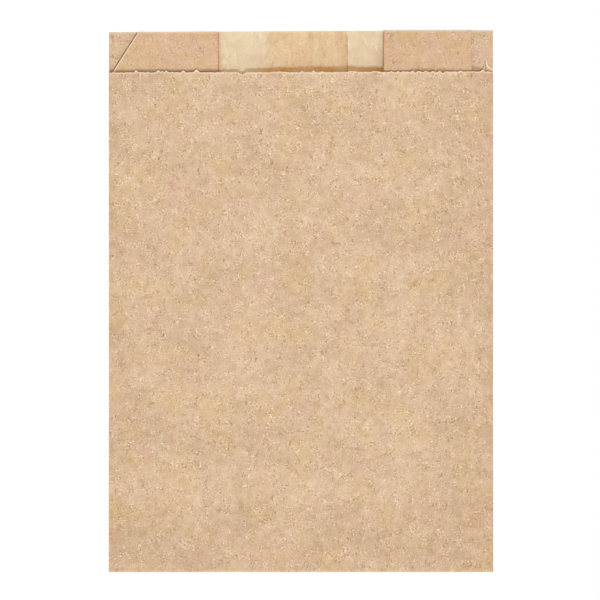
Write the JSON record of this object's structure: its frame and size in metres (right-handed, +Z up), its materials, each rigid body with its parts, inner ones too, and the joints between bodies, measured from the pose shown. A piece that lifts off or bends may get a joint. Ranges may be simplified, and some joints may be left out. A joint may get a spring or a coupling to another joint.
{
  "type": "paper bread bag",
  "caption": "Flat brown kraft paper bag with side gussets, a pasted lengthways back seam, a turned-up pasted bottom and an open saw-toothed mouth, for bread and rolls.",
  "frame": {"origin": "middle of the bag's footprint, on the surface that it lies on", "axes": "+X across the bag, from its left side fold to its right one as it lies with its mouth away from the viewer; +Y along the bag, from the bottom fold to the mouth; +Z up, out of the plain front panel"},
  "size_m": [0.175, 0.2468, 0.0065],
  "materials": {
    "kraft_paper": "matte"
  },
  "bodies": {
    "root": {"bag": "kraft_paper"}
  },
  "joints": []
}
